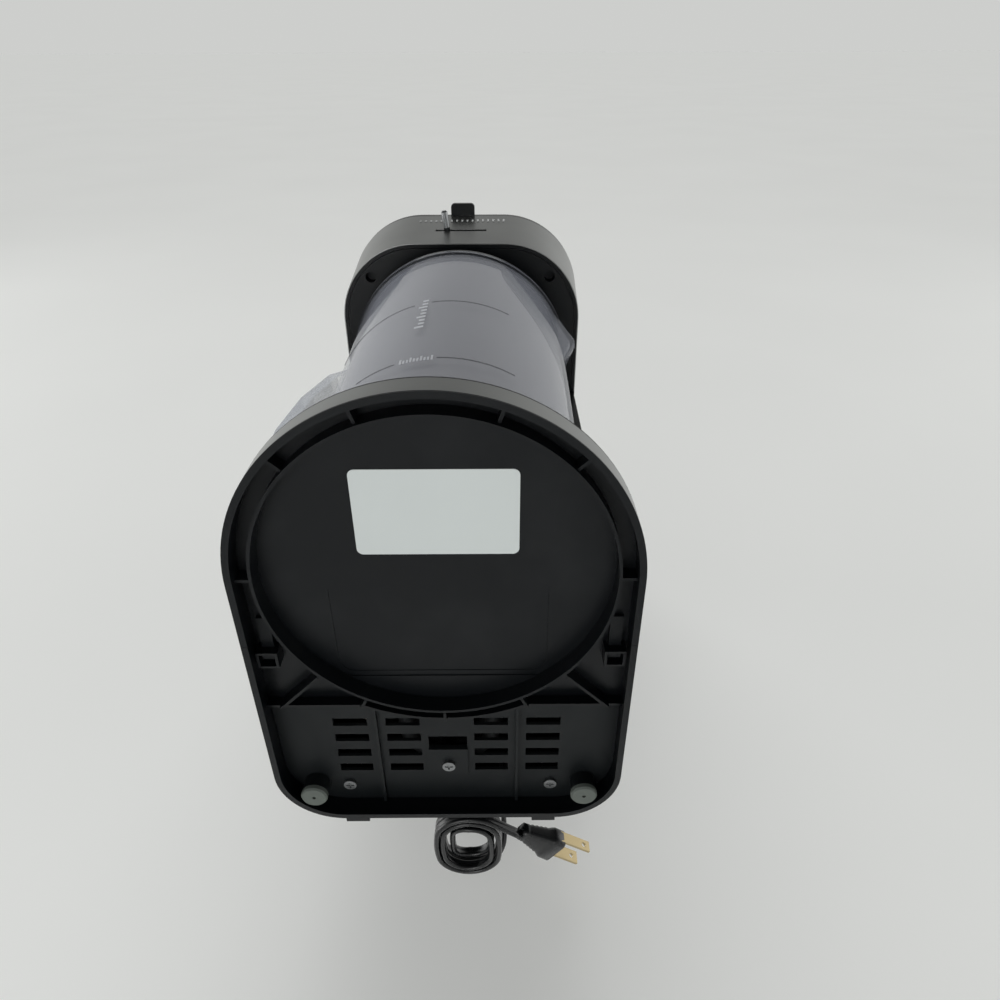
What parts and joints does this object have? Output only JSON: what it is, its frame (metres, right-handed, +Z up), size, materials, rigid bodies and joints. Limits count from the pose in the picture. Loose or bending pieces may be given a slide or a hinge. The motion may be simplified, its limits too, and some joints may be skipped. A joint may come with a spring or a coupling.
{
  "type": "iced tea maker",
  "caption": "Countertop iced tea maker with a D-shaped base, a column that holds the water tank, a brewing head under a hinged lid, and a clear pitcher with a spout and a handle.",
  "frame": {"origin": "on the brewing axis, in the plane that the base rim and the rubber feet stand on", "axes": "+Z up, -Y towards the front, where the lever is, and +X towards the power button"},
  "size_m": [0.2082, 0.3165, 0.383],
  "materials": {
    "black_body": "smooth",
    "black_inner": "satin",
    "band": "dark, softly polished",
    "label": "satin foil",
    "feet": "matt",
    "screws": "zinc plated",
    "stainless": "satin",
    "heater_alloy": "cast",
    "silicone": "matt",
    "clear_tank": "natural",
    "clear_pitcher": "clear, polished",
    "frosted": "frosted",
    "lever_post": "satin",
    "lamp": "clear red",
    "wire": "smooth",
    "cord": "satin",
    "prongs": "bare"
  },
  "bodies": {
    "housing": {"base_tray": "black_body", "base_band": "band", "rating_label": "label", "rear_housing": "black_body", "column_front_panel": "black_body", "rear_cover": "black_inner", "cover_screws": "screws", "rubber_feet": "feet", "head_shell": "black_body", "head_band": "band", "head_bottom_plate": "black_body", "head_screws": "screws", "head_deck": "black_inner", "lid_hinge_pins": "stainless", "water_tank": "clear_tank", "tank_floor": "clear_tank", "tank_seal": "silicone", "check_valve": "silicone", "check_ball": "stainless", "inlet_hose": "silicone", "heater": "heater_alloy", "heater_bracket": "stainless", "thermostat": "stainless", "thermal_fuse": "silicone", "outlet_hose": "silicone", "riser_pipe": "stainless", "spray_head": "black_inner", "brew_basket": "black_inner", "filter_mesh": "stainless", "switch_body": "black_inner", "indicator_lamp": "lamp", "inner_leads": "wire", "strain_relief": "cord", "cord_lead": "cord", "cord_hank": "cord", "cord_tail": "cord", "plug_body": "cord", "plug_prongs": "prongs"},
    "lid": {"lid": "black_body"},
    "pitcher": {"pitcher_shell": "clear_pitcher", "pitcher_sleeve": "frosted", "pitcher_handle": "clear_pitcher"},
    "pitcher_lid": {"pitcher_lid": "black_body"},
    "strength_lever": {"strength_lever": "black_inner", "lever_knob": "lever_post"},
    "power_button": {"power_button": "black_body"}
  },
  "joints": [
    {"name": "lid_hinge", "type": "hinge", "parent": "housing", "child": "lid", "pos_m": [0, 0.156, 0.379], "axis": [-1, 0, 0], "range_deg": [0, 95]},
    {"name": "lever_swing", "type": "hinge", "parent": "housing", "child": "strength_lever", "pos_m": [0, 0, 0.3095], "axis": [0, 0, 1], "range_deg": [-4.5, 20]},
    {"name": "power_button_push", "type": "slide", "parent": "housing", "child": "power_button", "axis": [-1, 0, 0], "range_m": [0, 0.002], "stiffness_N_per_m": 400},
    {"name": "pitcher_draw_out", "type": "slide", "parent": "housing", "child": "pitcher", "axis": [0, -1, 0], "range_m": [0, 0.2]},
    {"name": "pitcher_lid_lift", "type": "slide", "parent": "pitcher", "child": "pitcher_lid", "axis": [0, 0, 1], "range_m": [0, 0.01]}
  ]
}
